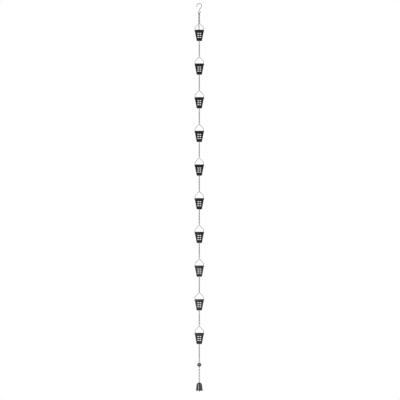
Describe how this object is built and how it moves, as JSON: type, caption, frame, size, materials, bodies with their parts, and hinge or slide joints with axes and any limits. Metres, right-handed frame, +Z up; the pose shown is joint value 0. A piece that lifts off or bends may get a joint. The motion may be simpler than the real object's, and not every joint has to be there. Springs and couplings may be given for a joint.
{
  "type": "rain chain",
  "caption": "Hanging rain chain: wire hook, windowed square cups on wire bails joined by link chain, wooden bead and bell, leading rain down from a gutter outlet.",
  "frame": {"origin": "inside top of the hook's crook, where it bears on the gutter strap", "axes": "+Z up, the chain hangs along -Z; +X across the hook's flat side, +Y away from the viewer"},
  "size_m": [0.0668, 0.0628, 2.5936],
  "materials": {
    "cup_sheet": "satin black",
    "black_wire": "satin black",
    "bead_wood": "oiled dark wood",
    "bell_shell": "gloss black"
  },
  "bodies": {
    "hook": {"gutter_hook": "black_wire"},
    "chain_01": {"chain_01": "black_wire", "spare_chain": "black_wire"},
    "bail_01": {"bail_01": "black_wire"},
    "cup_01": {"cup_01": "cup_sheet", "collar_01": "cup_sheet", "toggle_pin_01": "black_wire"},
    "chain_02": {"chain_02": "black_wire"},
    "bail_02": {"bail_02": "black_wire"},
    "cup_02": {"cup_02": "cup_sheet", "collar_02": "cup_sheet", "toggle_pin_02": "black_wire"},
    "chain_03": {"chain_03": "black_wire"},
    "bail_03": {"bail_03": "black_wire"},
    "cup_03": {"cup_03": "cup_sheet", "collar_03": "cup_sheet", "toggle_pin_03": "black_wire"},
    "chain_04": {"chain_04": "black_wire"},
    "bail_04": {"bail_04": "black_wire"},
    "cup_04": {"cup_04": "cup_sheet", "collar_04": "cup_sheet", "toggle_pin_04": "black_wire"},
    "chain_05": {"chain_05": "black_wire"},
    "bail_05": {"bail_05": "black_wire"},
    "cup_05": {"cup_05": "cup_sheet", "collar_05": "cup_sheet", "toggle_pin_05": "black_wire"},
    "chain_06": {"chain_06": "black_wire"},
    "bail_06": {"bail_06": "black_wire"},
    "cup_06": {"cup_06": "cup_sheet", "collar_06": "cup_sheet", "toggle_pin_06": "black_wire"},
    "chain_07": {"chain_07": "black_wire"},
    "bail_07": {"bail_07": "black_wire"},
    "cup_07": {"cup_07": "cup_sheet", "collar_07": "cup_sheet", "toggle_pin_07": "black_wire"},
    "chain_08": {"chain_08": "black_wire"},
    "bail_08": {"bail_08": "black_wire"},
    "cup_08": {"cup_08": "cup_sheet", "collar_08": "cup_sheet", "toggle_pin_08": "black_wire"},
    "chain_09": {"chain_09": "black_wire"},
    "bail_09": {"bail_09": "black_wire"},
    "cup_09": {"cup_09": "cup_sheet", "collar_09": "cup_sheet", "toggle_pin_09": "black_wire"},
    "chain_10": {"chain_10": "black_wire"},
    "bail_10": {"bail_10": "black_wire"},
    "cup_10": {"cup_10": "cup_sheet", "collar_10": "cup_sheet", "toggle_pin_10": "black_wire"},
    "bead_chain": {"bead_chain": "black_wire"},
    "bead_pin": {"bead_eye_pin": "black_wire"},
    "bead": {"bead": "bead_wood"},
    "bell_chain": {"bell_chain": "black_wire"},
    "bell": {"bell": "bell_shell", "bell_hanger": "black_wire"},
    "clapper": {"clapper": "black_wire"}
  },
  "joints": [
    {"name": "chain_01_swing", "type": "hinge", "parent": "hook", "child": "chain_01", "pos_m": [0, 0, -0.06312], "axis": [1, 0, 0], "range_deg": [-40, 40]},
    {"name": "bail_01_swing", "type": "hinge", "parent": "chain_01", "child": "bail_01", "pos_m": [0, 0, -0.13144], "axis": [1, 0, 0], "range_deg": [-65, 65]},
    {"name": "cup_01_tip", "type": "hinge", "parent": "bail_01", "child": "cup_01", "pos_m": [0, 0, -0.18204], "axis": [-1, 0, 0], "range_deg": [-50, 50]},
    {"name": "chain_02_swing", "type": "hinge", "parent": "cup_01", "child": "chain_02", "pos_m": [0, 0, -0.24659], "axis": [0, 1, 0], "range_deg": [-30, 30]},
    {"name": "bail_02_swing", "type": "hinge", "parent": "chain_02", "child": "bail_02", "pos_m": [0, 0, -0.3559], "axis": [-1, 0, 0], "range_deg": [-65, 65]},
    {"name": "cup_02_tip", "type": "hinge", "parent": "bail_02", "child": "cup_02", "pos_m": [0, 0, -0.4065], "axis": [1, 0, 0], "range_deg": [-50, 50]},
    {"name": "chain_03_swing", "type": "hinge", "parent": "cup_02", "child": "chain_03", "pos_m": [0, 0, -0.47105], "axis": [0, -1, 0], "range_deg": [-30, 30]},
    {"name": "bail_03_swing", "type": "hinge", "parent": "chain_03", "child": "bail_03", "pos_m": [0, 0, -0.58036], "axis": [1, 0, 0], "range_deg": [-65, 65]},
    {"name": "cup_03_tip", "type": "hinge", "parent": "bail_03", "child": "cup_03", "pos_m": [0, 0, -0.63096], "axis": [-1, 0, 0], "range_deg": [-50, 50]},
    {"name": "chain_04_swing", "type": "hinge", "parent": "cup_03", "child": "chain_04", "pos_m": [0, 0, -0.69551], "axis": [0, 1, 0], "range_deg": [-30, 30]},
    {"name": "bail_04_swing", "type": "hinge", "parent": "chain_04", "child": "bail_04", "pos_m": [0, 0, -0.80482], "axis": [-1, 0, 0], "range_deg": [-65, 65]},
    {"name": "cup_04_tip", "type": "hinge", "parent": "bail_04", "child": "cup_04", "pos_m": [0, 0, -0.85542], "axis": [1, 0, 0], "range_deg": [-50, 50]},
    {"name": "chain_05_swing", "type": "hinge", "parent": "cup_04", "child": "chain_05", "pos_m": [0, 0, -0.91997], "axis": [0, -1, 0], "range_deg": [-30, 30]},
    {"name": "bail_05_swing", "type": "hinge", "parent": "chain_05", "child": "bail_05", "pos_m": [0, 0, -1.02928], "axis": [1, 0, 0], "range_deg": [-65, 65]},
    {"name": "cup_05_tip", "type": "hinge", "parent": "bail_05", "child": "cup_05", "pos_m": [0, 0, -1.07988], "axis": [-1, 0, 0], "range_deg": [-50, 50]},
    {"name": "chain_06_swing", "type": "hinge", "parent": "cup_05", "child": "chain_06", "pos_m": [0, 0, -1.14443], "axis": [0, 1, 0], "range_deg": [-30, 30]},
    {"name": "bail_06_swing", "type": "hinge", "parent": "chain_06", "child": "bail_06", "pos_m": [0, 0, -1.25374], "axis": [-1, 0, 0], "range_deg": [-65, 65]},
    {"name": "cup_06_tip", "type": "hinge", "parent": "bail_06", "child": "cup_06", "pos_m": [0, 0, -1.30434], "axis": [1, 0, 0], "range_deg": [-50, 50]},
    {"name": "chain_07_swing", "type": "hinge", "parent": "cup_06", "child": "chain_07", "pos_m": [0, 0, -1.36889], "axis": [0, -1, 0], "range_deg": [-30, 30]},
    {"name": "bail_07_swing", "type": "hinge", "parent": "chain_07", "child": "bail_07", "pos_m": [0, 0, -1.4782], "axis": [1, 0, 0], "range_deg": [-65, 65]},
    {"name": "cup_07_tip", "type": "hinge", "parent": "bail_07", "child": "cup_07", "pos_m": [0, 0, -1.5288], "axis": [-1, 0, 0], "range_deg": [-50, 50]},
    {"name": "chain_08_swing", "type": "hinge", "parent": "cup_07", "child": "chain_08", "pos_m": [0, 0, -1.59335], "axis": [0, 1, 0], "range_deg": [-30, 30]},
    {"name": "bail_08_swing", "type": "hinge", "parent": "chain_08", "child": "bail_08", "pos_m": [0, 0, -1.70266], "axis": [-1, 0, 0], "range_deg": [-65, 65]},
    {"name": "cup_08_tip", "type": "hinge", "parent": "bail_08", "child": "cup_08", "pos_m": [0, 0, -1.75326], "axis": [1, 0, 0], "range_deg": [-50, 50]},
    {"name": "chain_09_swing", "type": "hinge", "parent": "cup_08", "child": "chain_09", "pos_m": [0, 0, -1.81781], "axis": [0, -1, 0], "range_deg": [-30, 30]},
    {"name": "bail_09_swing", "type": "hinge", "parent": "chain_09", "child": "bail_09", "pos_m": [0, 0, -1.92712], "axis": [1, 0, 0], "range_deg": [-65, 65]},
    {"name": "cup_09_tip", "type": "hinge", "parent": "bail_09", "child": "cup_09", "pos_m": [0, 0, -1.97772], "axis": [-1, 0, 0], "range_deg": [-50, 50]},
    {"name": "chain_10_swing", "type": "hinge", "parent": "cup_09", "child": "chain_10", "pos_m": [0, 0, -2.04227], "axis": [0, 1, 0], "range_deg": [-30, 30]},
    {"name": "bail_10_swing", "type": "hinge", "parent": "chain_10", "child": "bail_10", "pos_m": [0, 0, -2.15158], "axis": [-1, 0, 0], "range_deg": [-65, 65]},
    {"name": "cup_10_tip", "type": "hinge", "parent": "bail_10", "child": "cup_10", "pos_m": [0, 0, -2.20218], "axis": [1, 0, 0], "range_deg": [-50, 50]},
    {"name": "bead_chain_swing", "type": "hinge", "parent": "cup_10", "child": "bead_chain", "pos_m": [0, 0, -2.26673], "axis": [0, -1, 0], "range_deg": [-30, 30]},
    {"name": "bead_pin_swing", "type": "hinge", "parent": "bead_chain", "child": "bead_pin", "pos_m": [0, 0, -2.3865], "axis": [0, 1, 0], "range_deg": [-40, 40]},
    {"name": "bead_spin", "type": "hinge", "parent": "bead_pin", "child": "bead", "pos_m": [0, 0, -2.40717], "axis": [0, 0, 1], "continuous": true},
    {"name": "bell_chain_swing", "type": "hinge", "parent": "bead_pin", "child": "bell_chain", "pos_m": [0, 0, -2.42785], "axis": [1, 0, 0], "range_deg": [-40, 40]},
    {"name": "bell_swing", "type": "hinge", "parent": "bell_chain", "child": "bell", "pos_m": [0, 0, -2.51749], "axis": [-1, 0, 0], "range_deg": [-40, 40]},
    {"name": "clapper_swing", "type": "hinge", "parent": "bell", "child": "clapper", "pos_m": [0, 0, -2.53369], "axis": [0, 1, 0], "range_deg": [-20, 20]}
  ]
}
